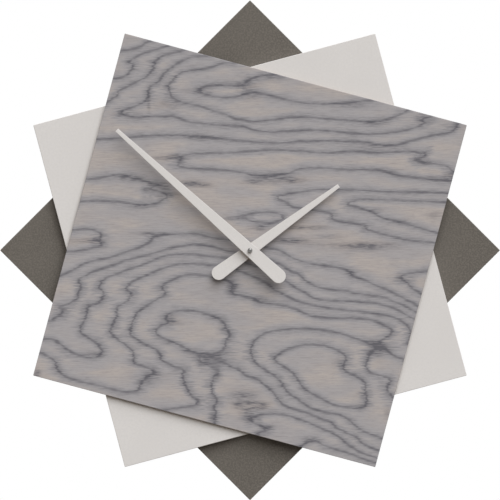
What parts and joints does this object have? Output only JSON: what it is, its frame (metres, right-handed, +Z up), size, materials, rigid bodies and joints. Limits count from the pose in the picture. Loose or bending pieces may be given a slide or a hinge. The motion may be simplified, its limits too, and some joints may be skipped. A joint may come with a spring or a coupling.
{
  "type": "wall clock",
  "caption": "Wall clock made of turned square boards, the front one in figured grey veneer, with plain tapered hands on a quartz movement and a keyhole hanger",
  "frame": {"origin": "centre of the keyhole hanger's round hole, on the wall plane", "axes": "+Z up the wall, +Y into the wall, so the dial faces -Y, and +X to the right as seen from the front"},
  "size_m": [0.4494, 0.037, 0.4494],
  "materials": {
    "dark_lacquer": "satin lacquer with a fine fleck",
    "pale_lacquer": "satin lacquer",
    "board_core": "raw fibreboard, sanded",
    "grey_veneer": "grey-dyed figured veneer, matt",
    "hand_lacquer": "satin lacquer on sheet",
    "bright_chrome": "polished",
    "brass": "turned",
    "zinc_steel": "zinc plated",
    "spring_steel": "nickel plated",
    "soft_iron": "annealed",
    "ferrite": "sintered",
    "black_rubber": "matt",
    "black_plastic": "fine moulded texture",
    "white_plastic": "moulded",
    "bobbin_plastic": "moulded",
    "copper_wire": "enamelled winding",
    "board_laminate": "laminate",
    "chip_resin": "cured resin",
    "bare_cell": "nickel-plated can",
    "sleeve_film": "printed film"
  },
  "bodies": {
    "clock_frame": {"rear_panel": "dark_lacquer", "middle_panel": "pale_lacquer", "front_panel": "board_core", "face_veneer": "grey_veneer", "middle_screws": "zinc_steel", "rear_screws": "zinc_steel", "hanger_plate": "zinc_steel", "hanger_screws": "zinc_steel", "wall_bumpers": "black_rubber", "movement_front_case": "black_plastic", "movement_rear_case": "black_plastic", "threaded_bush": "brass", "seal_washer": "black_rubber", "clamp_washer": "brass", "clamp_nut": "brass", "train_bridge": "white_plastic", "bridge_screws": "zinc_steel", "stator": "soft_iron", "coil_core": "soft_iron", "coil_bobbin": "bobbin_plastic", "coil_winding": "copper_wire", "circuit_board": "board_laminate", "quartz_crystal": "spring_steel", "control_chip": "chip_resin", "negative_contact": "spring_steel", "positive_contact": "spring_steel"},
    "minute_works": {"minute_shaft": "brass", "centre_wheel": "white_plastic", "clutch_spring": "spring_steel", "minute_collet": "brass", "minute_hand": "hand_lacquer", "cap_nut": "bright_chrome"},
    "hour_works": {"hour_wheel": "white_plastic", "hour_collet": "brass", "hour_hand": "hand_lacquer"},
    "motion_works": {"motion_wheel": "white_plastic"},
    "setting_works": {"setting_shaft": "black_plastic", "setting_knob": "black_plastic"},
    "third_works": {"third_wheel": "white_plastic"},
    "seconds_works": {"seconds_wheel": "white_plastic"},
    "intermediate_works": {"intermediate_wheel": "white_plastic"},
    "rotor_works": {"rotor_pinion": "white_plastic", "rotor_magnet": "ferrite"},
    "battery": {"battery_cell": "bare_cell", "battery_sleeve": "sleeve_film"}
  },
  "joints": [
    {"name": "minute_arbor", "type": "hinge", "parent": "clock_frame", "child": "minute_works", "pos_m": [0, -0.01, -0.12], "axis": [0, 1, 0], "continuous": true},
    {"name": "hour_arbor", "type": "hinge", "parent": "clock_frame", "child": "hour_works", "pos_m": [0, -0.01, -0.12], "axis": [0, 1, 0], "continuous": true},
    {"name": "motion_post", "type": "hinge", "parent": "clock_frame", "child": "motion_works", "pos_m": [0.00579, -0.01, -0.11311], "axis": [0, 1, 0], "continuous": true},
    {"name": "setting_arbor", "type": "hinge", "parent": "clock_frame", "child": "setting_works", "pos_m": [0.00453, -0.01, -0.10419], "axis": [0, 1, 0], "continuous": true},
    {"name": "third_arbor", "type": "hinge", "parent": "clock_frame", "child": "third_works", "pos_m": [-0.00619, -0.01, -0.11115], "axis": [0, 1, 0], "continuous": true},
    {"name": "seconds_arbor", "type": "hinge", "parent": "clock_frame", "child": "seconds_works", "pos_m": [0, -0.01, -0.12], "axis": [0, 1, 0], "continuous": true},
    {"name": "intermediate_arbor", "type": "hinge", "parent": "clock_frame", "child": "intermediate_works", "pos_m": [0.0108, -0.01, -0.12], "axis": [0, 1, 0], "continuous": true},
    {"name": "rotor_arbor", "type": "hinge", "parent": "clock_frame", "child": "rotor_works", "pos_m": [0.01626, -0.01, -0.11685], "axis": [0, 1, 0], "continuous": true},
    {"name": "battery_lift", "type": "slide", "parent": "clock_frame", "child": "battery", "axis": [0, 1, 0], "range_m": [0, 0.03]}
  ],
  "couplings": [
    {"joint": "hour_arbor", "follows": "minute_arbor", "ratio": 0.083333},
    {"joint": "motion_post", "follows": "minute_arbor", "ratio": -0.33333},
    {"joint": "setting_arbor", "follows": "minute_arbor", "ratio": 1},
    {"joint": "third_arbor", "follows": "minute_arbor", "ratio": -8},
    {"joint": "seconds_arbor", "follows": "minute_arbor", "ratio": 60},
    {"joint": "intermediate_arbor", "follows": "minute_arbor", "ratio": -300},
    {"joint": "rotor_arbor", "follows": "minute_arbor", "ratio": 1800}
  ]
}
